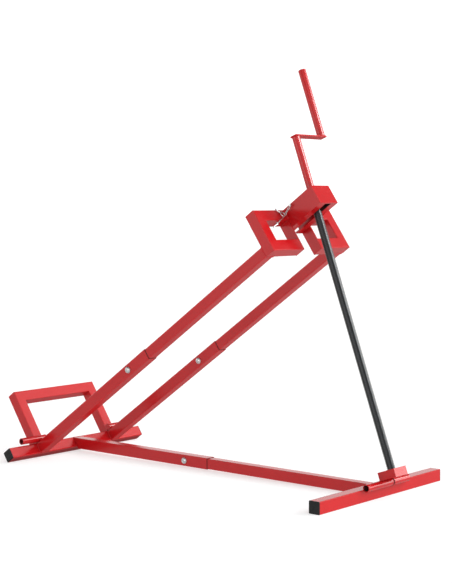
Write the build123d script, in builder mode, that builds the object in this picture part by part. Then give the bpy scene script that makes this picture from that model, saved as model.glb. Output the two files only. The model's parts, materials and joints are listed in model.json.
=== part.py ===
import os
from math import asin, cos, radians, sin, sqrt

from build123d import *

os.makedirs("parts", exist_ok=True)

# Square tube stock in mm: the slim tube slides into the other
tube = 30.0
wall = 1.2
edge_r = 2.0
slim_play = 0.2
slim = tube - 2 * wall - slim_play
half = tube / 2

# Rear bar's place along X, which puts the origin under the middle of the whole
rear_x = -502.0

# Arms' angle above level in degrees
arm_angle = 34.1

# Lift frame, measured along the arms (n1) and square to them (n2) from the rear bar's middle
bar_half = 249.0
arm_y = 137.0
lower_arm_end = 528.0
arm_bolt_in = 81.0
arm_tail = 32.0
arm_bolt = lower_arm_end - arm_bolt_in
upper_arm_start = arm_bolt - arm_tail
cradle_back = 1003.0
cradle_top = 100.5
plate_t = 3.0
bracket_top = 181.0

# Sleeves and sockets of round tube
socket_r = 9.0
socket_wall = 2.0
socket_bore = socket_r - socket_wall
socket_reach = 57.0
socket_end = 3.0

# Rear hinge, in the notch of the rear bar's upper front edge
hinge_in = 4.0
hinge_down = 4.5
hinge_n1 = half - hinge_in
hinge_n2 = half - hinge_down
hinge_pin_r = 3.0
knuckle_r = 5.4
notch_gap = 0.6
notch_r = knuckle_r + notch_gap
knuckle_half = 7.3
ear_gap = 0.5
ear_t = half - wall - knuckle_half - ear_gap
mitre_gap = 0.4

# Screw
screw_r = 10.0
thread_gap = 0.5
slot_gap = 1.0
nut_bore = screw_r + thread_gap
slot_half = screw_r + slot_gap

# Head: a box of plate that starts at the cradles' back
head_half = 35.0
head_len = 133.0
head_h = 51.0
head_wall = 4.0
head_front = cradle_back + head_len
head_bottom = cradle_top - head_h

# Nut, hung on a trunnion under the head's top
trunnion_ahead = 101.4
trunnion_drop = 9.5
trunnion_n1 = cradle_back + trunnion_ahead
trunnion_n2 = cradle_top - trunnion_drop
trunnion_r = 4.5
bearing_t = 5.0
nut_gap = 4.0
nut_p = 14.0
nut_half = head_half - head_wall - bearing_t - nut_gap
nut_top = 4.6
nut_low = 20.0

# Base, measured along the beam from the rear bar's middle
beam_rise = 4.6
beam_seam = 518.0
beam_bolt_in = 79.0
beam_tail = 39.0
beam_bolt = beam_seam - beam_bolt_in
front_tube_start = beam_bolt - beam_tail
front_bar_x = 1051.3

# Foot hinge, off the front bar's upper front edge
sleeve_gap = 0.8
sleeve_angle = radians(34.6)
sleeve_reach = edge_r + socket_r + sleeve_gap
foot_x = front_bar_x + half - edge_r + sleeve_reach * cos(sleeve_angle)
foot_rise = beam_rise + half - edge_r + sleeve_reach * sin(sleeve_angle)
sleeve_near = 82.0
sleeve_far = 20.8
knuckle_gap = 1.8
knuckle_clear = 0.6
fixed_len = 67.9
fixed_near = sleeve_far + knuckle_gap
fixed_far = fixed_near + fixed_len

# Foot block and crank, measured along the screw
foot_offset = 25.9
block_seat = 7.5
block_h = 20.5
block_half_p = 24.5
block_half_y = 25.0
crank_start = 13.6
crank_tube_len = 141.7
crank_plate_t = 3.0
crank_throw = 105.0
crank_r = 10.0
crank_wall = 2.6
handle_len = 182.2
crank_tube_end = crank_start + crank_tube_len
handle_end = crank_tube_end + crank_plate_t + handle_len

# Bolts
bolt_r = 5.0
bolt_play = 0.25
bolt_hole = bolt_r + bolt_play
button_r = 8.75
button_t = 5.5
button_round = 5.0
key_r = 3.46
key_depth = 3.1
flange_r = 10.0
flange_t = 2.0
hex_r = 9.24
nut_t = 8.0
running = 0.05

# Directions: the rear bar stands on its lower edge and the front bar on its underside
t = radians(arm_angle)
bar_z = edge_r + (half - edge_r) * (sin(t) + cos(t))
base_pitch = asin((bar_z + beam_rise - half) / (front_bar_x + half - edge_r))
rear = Vector(rear_x, 0, bar_z)
y_axis = Vector(0, 1, 0)
n1 = Vector(cos(t), 0, sin(t))
n2 = Vector(-sin(t), 0, cos(t))
b1 = Vector(cos(base_pitch), 0, -sin(base_pitch))
b2 = Vector(sin(base_pitch), 0, cos(base_pitch))
pivot = rear + n1 * hinge_n1 + n2 * hinge_n2
trunnion = rear + n1 * trunnion_n1 + n2 * trunnion_n2
foot = rear + b1 * foot_x + b2 * foot_rise

# The screw's axis runs through the trunnion and passes the foot pivot at its offset
span = trunnion - foot
screw_run = sqrt(span.length**2 - foot_offset**2)
p2 = (span * screw_run - Vector(span.Z, 0, -span.X) * foot_offset) * (1 / span.length**2)
p1 = Vector(p2.Z, 0, -p2.X)
block_low = block_seat - screw_run
block_top = block_low + block_h

# Sketch planes: side looks along +Y, end looks back along the member, top looks down on it
arm_side = Plane(origin=rear, x_dir=n1, z_dir=-y_axis)
arm_end = Plane(origin=rear, x_dir=y_axis, z_dir=n1)
arm_top = Plane(origin=rear, x_dir=n1, z_dir=n2)
base_side = Plane(origin=rear, x_dir=b1, z_dir=-y_axis)
base_end = Plane(origin=rear, x_dir=y_axis, z_dir=b1)
pivot_side = Plane(origin=pivot, x_dir=b1, z_dir=-y_axis)
foot_side = Plane(origin=foot, x_dir=b1, z_dir=-y_axis)
nut_side = Plane(origin=trunnion, x_dir=p1, z_dir=-y_axis)
screw_top = Plane(origin=trunnion, x_dir=p1, z_dir=p2)

# Rear bar with the hinge notch in its upper front edge
with BuildPart() as rear_bar:
    with BuildSketch(arm_side):
        RectangleRounded(tube, tube, edge_r)
        RectangleRounded(tube - 2 * wall, tube - 2 * wall, edge_r / 4, mode=Mode.SUBTRACT)
    extrude(amount=bar_half, both=True)
    with BuildSketch(arm_side):
        with Locations((hinge_n1, hinge_n2)):
            Circle(knuckle_r)
    extrude(amount=half, both=True, mode=Mode.SUBTRACT)
    for offset in (knuckle_half, -half - 0.5):
        with BuildSketch(arm_side.offset(offset)):
            with Locations((hinge_n1, hinge_n2)):
                Circle(notch_r)
        extrude(amount=half + 0.5 - knuckle_half, mode=Mode.SUBTRACT)
rear_bar.part.label = "rear_bar"
export_step(rear_bar.part, "parts/rear_bar.step")

# Middle knuckle of the rear hinge, welded into the notch
with BuildPart() as hinge_knuckle:
    with BuildSketch(pivot_side):
        Circle(knuckle_r)
        Circle(hinge_pin_r + running, mode=Mode.SUBTRACT)
    extrude(amount=knuckle_half, both=True)
hinge_knuckle.part.label = "hinge_knuckle"
export_step(hinge_knuckle.part, "parts/hinge_knuckle.step")

# Plastic plugs of the rear and front bars
for plane, x, z, bar in ((arm_side, 0, 0, "rear"), (base_side, front_bar_x, beam_rise, "front")):
    for side, tag in ((1, "left"), (-1, "right")):
        with BuildPart() as cap:
            with BuildSketch(plane.offset(-side * bar_half)):
                with Locations((x, z)):
                    RectangleRounded(tube, tube, edge_r)
            extrude(amount=-side * 2)
            with BuildSketch(plane.offset(-side * bar_half)):
                with Locations((x, z)):
                    RectangleRounded(tube - 2 * wall - 0.4, tube - 2 * wall - 0.4, edge_r)
            extrude(amount=side * 12)
        cap.part.label = f"{bar}_cap_{tag}"
        export_step(cap.part, f"parts/{bar}_cap_{tag}.step")

# Arms: a lower tube butted on the rear bar and a slimmer one bolted inside it
for side, tag in ((1, "left"), (-1, "right")):
    with BuildPart() as lower_arm:
        with BuildSketch(arm_end.offset(half)):
            with Locations((side * arm_y, 0)):
                RectangleRounded(tube, tube, edge_r)
                RectangleRounded(tube - 2 * wall, tube - 2 * wall, edge_r / 4, mode=Mode.SUBTRACT)
        extrude(amount=lower_arm_end - half)
        with BuildSketch(arm_side):
            with Locations((arm_bolt, 0)):
                Circle(bolt_hole)
        extrude(amount=arm_y + tube, both=True, mode=Mode.SUBTRACT)
    lower_arm.part.label = f"lower_arm_{tag}"
    export_step(lower_arm.part, f"parts/lower_arm_{tag}.step")

    with BuildPart() as upper_arm:
        with BuildSketch(arm_end.offset(upper_arm_start)):
            with Locations((side * arm_y, 0)):
                RectangleRounded(slim, slim, edge_r)
                RectangleRounded(slim - 2 * wall, slim - 2 * wall, edge_r / 4, mode=Mode.SUBTRACT)
        extrude(amount=cradle_back - upper_arm_start)
        with BuildSketch(arm_side):
            with Locations((arm_bolt, 0)):
                Circle(bolt_hole)
        extrude(amount=arm_y + tube, both=True, mode=Mode.SUBTRACT)
    upper_arm.part.label = f"upper_arm_{tag}"
    export_step(upper_arm.part, f"parts/upper_arm_{tag}.step")

# Button head bolts and flange nuts of the three tube splices, heads on the -Y faces
for plane, x, z, y, name in (
    (arm_side, arm_bolt, 0, arm_y, "arm_{}_left"),
    (arm_side, arm_bolt, 0, -arm_y, "arm_{}_right"),
    (base_side, beam_bolt, beam_rise, 0, "beam_{}"),
):
    with BuildPart() as bolt:
        with BuildSketch(plane.offset(half - y)):
            with Locations((x, z)):
                Circle(button_r)
        extrude(amount=button_t)
        fillet(bolt.faces().sort_by(Axis.Y)[0].edges(), button_round)
        with BuildSketch(plane.offset(half - y + button_t)):
            with Locations((x, z)):
                RegularPolygon(key_r, 6)
        extrude(amount=-key_depth, mode=Mode.SUBTRACT)
        with BuildSketch(plane.offset(half - y)):
            with Locations((x, z)):
                Circle(bolt_r)
        extrude(amount=-(tube + flange_t + nut_t + 3))
    bolt.part.label = name.format("bolt")
    export_step(bolt.part, f"parts/{bolt.part.label}.step")

    with BuildPart() as nut:
        with BuildSketch(plane.offset(-half - y)):
            with Locations((x, z)):
                Circle(flange_r)
        extrude(amount=-flange_t)
        with BuildSketch(plane.offset(-half - y - flange_t)):
            with Locations((x, z)):
                RegularPolygon(hex_r, 6)
        extrude(amount=-nut_t)
        with BuildSketch(plane.offset(-half - y)):
            with Locations((x, z)):
                Circle(bolt_r + running)
        extrude(amount=-(flange_t + nut_t), mode=Mode.SUBTRACT)
    nut.part.label = name.format("nut")
    export_step(nut.part, f"parts/{nut.part.label}.step")

# Cradle rings at the arm tops: three mitred tubes and a flat inner plate each
cradle_mid = cradle_back + half
outer = arm_y + half
inner = arm_y - half
over = 5.0
for side, tag in ((1, "left"), (-1, "right")):
    with BuildPart() as cradle_post:
        with BuildSketch(arm_top.offset(-half)):
            with Locations((cradle_mid, side * arm_y)):
                RectangleRounded(tube, tube, edge_r)
                RectangleRounded(tube - 2 * wall, tube - 2 * wall, edge_r / 4, mode=Mode.SUBTRACT)
        extrude(amount=cradle_top + half)
        with BuildSketch(arm_end.offset(cradle_mid)):
            Polygon(
                (side * (outer + over), -half - over),
                (side * (inner - over), half + over),
                (side * (inner - over), -half - over),
                align=None,
            )
            Polygon(
                (side * (outer + over), cradle_top + over),
                (side * (inner - over), cradle_top - tube - over),
                (side * (inner - over), cradle_top + over),
                align=None,
            )
        extrude(amount=tube, both=True, mode=Mode.SUBTRACT)
    cradle_post.part.label = f"cradle_post_{tag}"
    export_step(cradle_post.part, f"parts/cradle_post_{tag}.step")

    with BuildPart() as cradle_foot:
        with BuildSketch(arm_side.offset(-side * (head_half + plate_t))):
            with Locations((cradle_mid, 0)):
                RectangleRounded(tube, tube, edge_r)
                RectangleRounded(tube - 2 * wall, tube - 2 * wall, edge_r / 4, mode=Mode.SUBTRACT)
        extrude(amount=-side * (outer - head_half - plate_t))
        with BuildSketch(arm_end.offset(cradle_mid)):
            Polygon(
                (side * (outer + over), -half - over),
                (side * (inner - over), half + over),
                (side * (outer + over), half + over),
                align=None,
            )
        extrude(amount=tube, both=True, mode=Mode.SUBTRACT)
    cradle_foot.part.label = f"cradle_foot_{tag}"
    export_step(cradle_foot.part, f"parts/cradle_foot_{tag}.step")

    with BuildPart() as cradle_rail:
        with BuildSketch(arm_side.offset(-side * head_half)):
            with Locations((cradle_mid, cradle_top - half)):
                RectangleRounded(tube, tube, edge_r)
                RectangleRounded(tube - 2 * wall, tube - 2 * wall, edge_r / 4, mode=Mode.SUBTRACT)
        extrude(amount=-side * (outer - head_half))
        with BuildSketch(arm_end.offset(cradle_mid)):
            Polygon(
                (side * (outer + over), cradle_top + over),
                (side * (inner - over), cradle_top - tube - over),
                (side * (outer + over), cradle_top - tube - over),
                align=None,
            )
        extrude(amount=tube, both=True, mode=Mode.SUBTRACT)
    cradle_rail.part.label = f"cradle_rail_{tag}"
    export_step(cradle_rail.part, f"parts/cradle_rail_{tag}.step")

    with BuildPart() as cradle_plate:
        with BuildSketch(arm_side.offset(-side * head_half)):
            with Locations((cradle_mid, (cradle_top - tube - half) / 2)):
                Rectangle(tube, cradle_top - tube + half)
        extrude(amount=-side * plate_t)
    cradle_plate.part.label = f"cradle_plate_{tag}"
    export_step(cradle_plate.part, f"parts/cradle_plate_{tag}.step")

    # Half of the head: a side wall with the lip that leaves the screw's slot
    with BuildPart() as head_half_shell:
        with BuildSketch(arm_end.offset(cradle_back)):
            with Locations((side * (head_half - head_wall / 2), (head_bottom + cradle_top) / 2)):
                Rectangle(head_wall, cradle_top - head_bottom)
            with Locations((side * (slot_half + head_half) / 2, head_bottom + head_wall / 2)):
                Rectangle(head_half - slot_half, head_wall)
        extrude(amount=head_front - head_wall - cradle_back)
    head_half_shell.part.label = f"head_side_{tag}"
    export_step(head_half_shell.part, f"parts/head_side_{tag}.step")

    # Bearing plate of the nut's trunnion on the inside of that wall
    with BuildPart() as trunnion_plate:
        with BuildSketch(arm_side.offset(-side * (head_half - head_wall))):
            with Locations((trunnion_n1, cradle_top - head_wall - 9)):
                Rectangle(26, 18)
            with Locations((trunnion_n1, trunnion_n2)):
                Circle(trunnion_r + running, mode=Mode.SUBTRACT)
        extrude(amount=side * bearing_t)
    trunnion_plate.part.label = f"trunnion_plate_{tag}"
    export_step(trunnion_plate.part, f"parts/trunnion_plate_{tag}.step")

# Head: top with the screw's opening, and the closed front
with BuildPart() as head_top:
    with BuildSketch(arm_top.offset(cradle_top - head_wall)):
        with Locations(((cradle_back + head_front - head_wall) / 2, 0)):
            Rectangle(head_front - head_wall - cradle_back, 2 * (head_half - head_wall))
        with Locations((trunnion_n1, 0)):
            Rectangle(46, 2 * nut_half + 3, mode=Mode.SUBTRACT)
    extrude(amount=head_wall)
head_top.part.label = "head_top"
export_step(head_top.part, "parts/head_top.step")

with BuildPart() as head_face:
    with BuildSketch(arm_end.offset(head_front - head_wall)):
        with Locations((0, (head_bottom + cradle_top) / 2)):
            Rectangle(2 * head_half, cradle_top - head_bottom)
    extrude(amount=head_wall)
head_face.part.label = "head_face"
export_step(head_face.part, "parts/head_face.step")

# Rear bracket: two legs on the rear bar and a mitred bar across them
for side, tag in ((1, "left"), (-1, "right")):
    with BuildPart() as bracket_leg:
        with BuildSketch(arm_top.offset(half)):
            with Locations((0, side * arm_y)):
                RectangleRounded(tube, tube, edge_r)
                RectangleRounded(tube - 2 * wall, tube - 2 * wall, edge_r / 4, mode=Mode.SUBTRACT)
        extrude(amount=bracket_top - half)
        with BuildSketch(arm_end):
            Polygon(
                (side * (outer + over), bracket_top + over),
                (side * (inner - over), bracket_top - tube - over),
                (side * (inner - over), bracket_top + over),
                align=None,
            )
        extrude(amount=tube, both=True, mode=Mode.SUBTRACT)
    bracket_leg.part.label = f"bracket_leg_{tag}"
    export_step(bracket_leg.part, f"parts/bracket_leg_{tag}.step")

    # Socket tube in the corner of leg and arm, open outwards and closed inside
    with BuildPart() as socket:
        with BuildSketch(arm_side.offset(-side * inner)):
            with Locations((half + socket_r, half + socket_r)):
                Circle(socket_r)
        extrude(amount=-side * (tube + socket_reach))
        with BuildSketch(arm_side.offset(-side * (inner + socket_end))):
            with Locations((half + socket_r, half + socket_r)):
                Circle(socket_bore)
        extrude(amount=-side * (tube + socket_reach - socket_end), mode=Mode.SUBTRACT)
    socket.part.label = f"socket_{tag}"
    export_step(socket.part, f"parts/socket_{tag}.step")

with BuildPart() as bracket_bar:
    with BuildSketch(arm_side):
        with Locations((0, bracket_top - half)):
            RectangleRounded(tube, tube, edge_r)
            RectangleRounded(tube - 2 * wall, tube - 2 * wall, edge_r / 4, mode=Mode.SUBTRACT)
    extrude(amount=outer, both=True)
    for side in (1, -1):
        with BuildSketch(arm_end):
            Polygon(
                (side * (outer + over), bracket_top + over),
                (side * (inner - over), bracket_top - tube - over),
                (side * (outer + over), bracket_top - tube - over),
                align=None,
            )
        extrude(amount=tube, both=True, mode=Mode.SUBTRACT)
bracket_bar.part.label = "bracket_bar"
export_step(bracket_bar.part, "parts/bracket_bar.step")

# Base beam: the rear tube's end is cut to the rear bar's face, clear of the hinge notch
with BuildPart() as rear_beam:
    with BuildSketch(base_end.offset(-tube)):
        with Locations((0, beam_rise)):
            RectangleRounded(tube, tube, edge_r)
            RectangleRounded(tube - 2 * wall, tube - 2 * wall, edge_r / 4, mode=Mode.SUBTRACT)
    extrude(amount=beam_seam + tube)
    with BuildSketch(arm_side):
        with Locations((half + mitre_gap - 2 * tube, 0)):
            Rectangle(4 * tube, 6 * tube)
    extrude(amount=tube, both=True, mode=Mode.SUBTRACT)
    with BuildSketch(pivot_side):
        Circle(notch_r)
    extrude(amount=tube, both=True, mode=Mode.SUBTRACT)
    with BuildSketch(base_side):
        with Locations((beam_bolt, beam_rise)):
            Circle(bolt_hole)
    extrude(amount=tube, both=True, mode=Mode.SUBTRACT)
rear_beam.part.label = "rear_beam"
export_step(rear_beam.part, "parts/rear_beam.step")

with BuildPart() as front_beam:
    with BuildSketch(base_end.offset(front_tube_start)):
        with Locations((0, beam_rise)):
            RectangleRounded(slim, slim, edge_r)
            RectangleRounded(slim - 2 * wall, slim - 2 * wall, edge_r / 4, mode=Mode.SUBTRACT)
    extrude(amount=front_bar_x - half - front_tube_start)
    with BuildSketch(base_side):
        with Locations((beam_bolt, beam_rise)):
            Circle(bolt_hole)
    extrude(amount=tube, both=True, mode=Mode.SUBTRACT)
front_beam.part.label = "front_beam"
export_step(front_beam.part, "parts/front_beam.step")

# Hinge ears inside the beam's end, and the pin they hold
ear_top = beam_rise + half - wall - edge_r / 4
ear_rise = (pivot - rear).dot(b2)
ear_reach = 40.0
ear_low = ear_rise - knuckle_r
for side, tag in ((1, "left"), (-1, "right")):
    ear_plane = pivot_side.offset(-side * (half - wall))
    with BuildPart() as hinge_ear:
        with BuildSketch(ear_plane):
            with Locations((ear_reach / 2, (ear_top + ear_low) / 2 - ear_rise)):
                Rectangle(ear_reach, ear_top - ear_low)
        extrude(amount=side * ear_t)
        with BuildSketch(arm_side):
            with Locations((half + mitre_gap - 2 * tube, 0)):
                Rectangle(4 * tube, 6 * tube)
        extrude(amount=tube, both=True, mode=Mode.SUBTRACT)
        with BuildSketch(ear_plane):
            Circle(knuckle_r)
        extrude(amount=side * ear_t)
        with BuildSketch(ear_plane):
            Circle(hinge_pin_r)
        extrude(amount=side * ear_t, mode=Mode.SUBTRACT)
    hinge_ear.part.label = f"hinge_ear_{tag}"
    export_step(hinge_ear.part, f"parts/hinge_ear_{tag}.step")

with BuildPart() as hinge_pin:
    with BuildSketch(pivot_side):
        Circle(hinge_pin_r)
    extrude(amount=half - wall, both=True)
hinge_pin.part.label = "hinge_pin"
export_step(hinge_pin.part, "parts/hinge_pin.step")

# Front bar, and the fixed half of the foot hinge on a seat behind it
with BuildPart() as front_bar:
    with BuildSketch(base_side):
        with Locations((front_bar_x, beam_rise)):
            RectangleRounded(tube, tube, edge_r)
            RectangleRounded(tube - 2 * wall, tube - 2 * wall, edge_r / 4, mode=Mode.SUBTRACT)
    extrude(amount=bar_half, both=True)
front_bar.part.label = "front_bar"
export_step(front_bar.part, "parts/front_bar.step")

with BuildPart() as fixed_sleeve:
    with BuildSketch(foot_side.offset(-fixed_near)):
        Circle(socket_r)
        Circle(socket_bore, mode=Mode.SUBTRACT)
    extrude(amount=fixed_near - fixed_far)
fixed_sleeve.part.label = "fixed_sleeve"
export_step(fixed_sleeve.part, "parts/fixed_sleeve.step")

seat_h = foot_rise - beam_rise - half
with BuildPart() as sleeve_seat:
    with BuildSketch(base_side.offset(-fixed_near - 2)):
        with Locations((foot_x - 11, beam_rise + half + (seat_h + 2) / 2)):
            Rectangle(14, seat_h + 2)
    extrude(amount=fixed_near - fixed_far + 4)
    with BuildSketch(foot_side):
        Circle(socket_r)
    extrude(amount=-fixed_far, mode=Mode.SUBTRACT)
sleeve_seat.part.label = "sleeve_seat"
export_step(sleeve_seat.part, "parts/sleeve_seat.step")

with BuildPart() as foot_pin:
    with BuildSketch(foot_side.offset(sleeve_near - 24)):
        Circle(socket_bore)
    extrude(amount=-(sleeve_near - 24 + fixed_far - 4))
foot_pin.part.label = "foot_pin"
export_step(foot_pin.part, "parts/foot_pin.step")

# Swinging half of the foot hinge, with the block that carries the screw
with BuildPart() as foot_sleeve:
    with BuildSketch(foot_side.offset(sleeve_near)):
        Circle(socket_r)
        Circle(socket_bore + running, mode=Mode.SUBTRACT)
    extrude(amount=-(sleeve_near + sleeve_far))
foot_sleeve.part.label = "foot_sleeve"
export_step(foot_sleeve.part, "parts/foot_sleeve.step")

journal_r = 6.0
web_top = block_top - 8
web_low = web_top - 5
washer_t = 1.5
with BuildPart() as foot_block:
    with BuildSketch(screw_top.offset(block_low)):
        RectangleRounded(2 * block_half_p, 2 * block_half_y, 1)
    extrude(amount=block_top - block_low)
    with BuildSketch(screw_top.offset(web_top)):
        Circle(screw_r + 0.4)
    extrude(amount=block_top - web_top, mode=Mode.SUBTRACT)
    with BuildSketch(screw_top.offset(web_low)):
        Circle(journal_r + 0.1)
    extrude(amount=web_top - web_low, mode=Mode.SUBTRACT)
    with BuildSketch(screw_top.offset(block_low)):
        Circle(12)
    extrude(amount=web_low - block_low, mode=Mode.SUBTRACT)
    with BuildSketch(foot_side):
        Circle(socket_r)
    extrude(amount=2 * block_half_y, both=True, mode=Mode.SUBTRACT)
    with BuildSketch(foot_side.offset(-sleeve_far)):
        Circle(socket_r + knuckle_clear)
    extrude(amount=sleeve_far - 2 * block_half_y, mode=Mode.SUBTRACT)
foot_block.part.label = "foot_block"
export_step(foot_block.part, "parts/foot_block.step")

# Gusset behind the block, standing on the swinging sleeve
gusset_h = 12.0
gusset_reach = 9.5
gusset_half = 3.0
with BuildPart() as foot_gusset:
    with BuildSketch(nut_side):
        Polygon(
            (-block_half_p, block_low + gusset_h),
            (-block_half_p - gusset_reach, block_low - 2),
            (-block_half_p, block_low - 2),
            align=None,
        )
    extrude(amount=gusset_half, both=True)
    with BuildSketch(foot_side):
        Circle(socket_r)
    extrude(amount=2 * gusset_half, both=True, mode=Mode.SUBTRACT)
foot_gusset.part.label = "foot_gusset"
export_step(foot_gusset.part, "parts/foot_gusset.step")

with BuildPart() as thrust_washer:
    with BuildSketch(screw_top.offset(web_top)):
        Circle(screw_r)
        Circle(journal_r + 0.1, mode=Mode.SUBTRACT)
    extrude(amount=washer_t)
thrust_washer.part.label = "thrust_washer"
export_step(thrust_washer.part, "parts/thrust_washer.step")

# Screw: journal in the foot block, full thread diameter, stub inside the crank tube
stub_r = crank_r - crank_wall
stub_len = 44.0
shoulder = web_top + washer_t + 0.1
with BuildPart() as screw:
    with BuildSketch(screw_top.offset(shoulder)):
        Circle(screw_r)
    extrude(amount=crank_start - shoulder)
    with BuildSketch(screw_top.offset(shoulder)):
        Circle(journal_r)
    extrude(amount=block_low + 1.5 - shoulder)
    with BuildSketch(screw_top.offset(crank_start)):
        Circle(stub_r)
    extrude(amount=stub_len)
    with BuildSketch(nut_side):
        with Locations((0, crank_start + 21)):
            Circle(2.5)
    extrude(amount=screw_r, both=True, mode=Mode.SUBTRACT)
screw.part.label = "screw"
export_step(screw.part, "parts/screw.step")

with BuildPart() as screw_retainer:
    with BuildSketch(screw_top.offset(web_low - 0.2)):
        RegularPolygon(10, 6)
        Circle(journal_r, mode=Mode.SUBTRACT)
    extrude(amount=-5)
screw_retainer.part.label = "screw_retainer"
export_step(screw_retainer.part, "parts/screw_retainer.step")

# Crank: tube pinned on the screw, cross plate and upright handle
with BuildPart() as crank_tube:
    with BuildSketch(screw_top.offset(crank_start)):
        Circle(crank_r)
        Circle(stub_r, mode=Mode.SUBTRACT)
    extrude(amount=crank_tube_end - crank_start)
    with BuildSketch(nut_side):
        with Locations((0, crank_start + 21)):
            Circle(2.5)
    extrude(amount=2 * crank_r, both=True, mode=Mode.SUBTRACT)
crank_tube.part.label = "crank_tube"
export_step(crank_tube.part, "parts/crank_tube.step")

with BuildPart() as crank_pin:
    with BuildSketch(nut_side):
        with Locations((0, crank_start + 21)):
            Circle(2.5)
    extrude(amount=crank_r + 0.3, both=True)
crank_pin.part.label = "crank_pin"
export_step(crank_pin.part, "parts/crank_pin.step")

with BuildPart() as crank_plate:
    with BuildSketch(screw_top.offset(crank_tube_end)):
        with Locations((0, crank_throw / 2)):
            RectangleRounded(2 * crank_r, crank_throw + 2 * crank_r, 1.5)
    extrude(amount=crank_plate_t)
crank_plate.part.label = "crank_plate"
export_step(crank_plate.part, "parts/crank_plate.step")

with BuildPart() as crank_handle:
    with BuildSketch(screw_top.offset(crank_tube_end + crank_plate_t)):
        with Locations((0, crank_throw)):
            Circle(crank_r)
            Circle(crank_r - wall, mode=Mode.SUBTRACT)
    extrude(amount=handle_end - crank_tube_end - crank_plate_t)
    with BuildSketch(screw_top.offset(handle_end - 3)):
        with Locations((0, crank_throw)):
            Circle(crank_r)
    extrude(amount=3)
crank_handle.part.label = "crank_handle"
export_step(crank_handle.part, "parts/crank_handle.step")

# Trunnion nut inside the head
with BuildPart() as trunnion_nut:
    with BuildSketch(screw_top.offset(-nut_low)):
        Rectangle(2 * nut_p, 2 * nut_half)
    extrude(amount=nut_low + nut_top)
    with BuildSketch(nut_side):
        Circle(trunnion_r)
    extrude(amount=head_half - head_wall - 0.3, both=True)
    with BuildSketch(screw_top.offset(-nut_low)):
        Circle(nut_bore)
    extrude(amount=nut_low + nut_top, mode=Mode.SUBTRACT)
trunnion_nut.part.label = "trunnion_nut"
export_step(trunnion_nut.part, "parts/trunnion_nut.step")

# Rivet on the head's right wall that holds the keeper chain
rivet_ahead = 28.0
rivet_drop = 5.0
rivet_r = 1.0
rivet_n1 = cradle_back + tube + rivet_ahead
rivet_n2 = cradle_top - rivet_drop
with BuildPart() as chain_rivet:
    with BuildSketch(arm_side.offset(head_half)):
        with Locations((rivet_n1, rivet_n2)):
            Circle(rivet_r)
    extrude(amount=8)
    with BuildSketch(arm_side.offset(head_half + 7.2)):
        with Locations((rivet_n1, rivet_n2)):
            Circle(2.8 * rivet_r)
    extrude(amount=1.3)
chain_rivet.part.label = "chain_rivet"
export_step(chain_rivet.part, "parts/chain_rivet.step")

# Keeper chain: oval wire links from the rivet down to the clip's loop
clip_ahead = 4.5
clip_out = 9.5
clip_drop = 19.4
clip_r = 1.5
clip_n1 = cradle_back + tube + clip_ahead
clip_y = -head_half - clip_out
clip_n2 = cradle_top - clip_drop
link_half = 3.2
link_r = 2.6
wire_r = 0.9
link_pitch = 7.2
chain_top = rear + n1 * rivet_n1 + n2 * rivet_n2 - y_axis * (head_half + 4.3)
chain_low = rear + n1 * clip_n1 + n2 * (clip_n2 + 1.7) + y_axis * (clip_y - 1.8)
run = (chain_low - chain_top).normalized()
across = run.cross(y_axis).normalized()
first = chain_top + run * (link_half + link_r - wire_r - rivet_r - 0.15)
last = chain_low - run * 2.6
steps = max(1, round((last - first).length / link_pitch))
with BuildPart() as keeper_chain:
    for i in range(steps + 1):
        middle = first + (last - first) * (i / steps)
        face = across if i % 2 else run.cross(across)
        with BuildLine(Plane(origin=middle, x_dir=run, z_dir=face)) as oval:
            Line((-link_half, link_r), (link_half, link_r))
            ThreePointArc((link_half, link_r), (link_half + link_r, 0), (link_half, -link_r))
            Line((link_half, -link_r), (-link_half, -link_r))
            ThreePointArc((-link_half, -link_r), (-link_half - link_r, 0), (-link_half, link_r))
        with BuildSketch(Plane(origin=oval.line @ 0, z_dir=oval.line % 0)):
            Circle(wire_r)
        sweep(path=oval.line)
keeper_chain.part.label = "keeper_chain"
export_step(keeper_chain.part, "parts/keeper_chain.step")

# Safety clip: one bent wire with an open loop, hanging in front of the right rail
with BuildPart() as safety_clip:
    with BuildLine(arm_end.offset(clip_n1)) as bend:
        FilletPolyline(
            (clip_y - 71.5, clip_n2 - 34.1),
            (clip_y, clip_n2),
            (clip_y - 6, clip_n2 + 9.4),
            (clip_y - 17.5, clip_n2 + 6.9),
            (clip_y - 28.5, clip_n2 + 19.9),
            radius=4,
        )
    with BuildSketch(Plane(origin=bend.line @ 0, z_dir=bend.line % 0)):
        Circle(clip_r)
    sweep(path=bend.line)
safety_clip.part.label = "safety_clip"
export_step(safety_clip.part, "parts/safety_clip.step")
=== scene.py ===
import json
import math

import bmesh
import bpy
import numpy as np
from mathutils import Matrix, Vector

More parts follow.
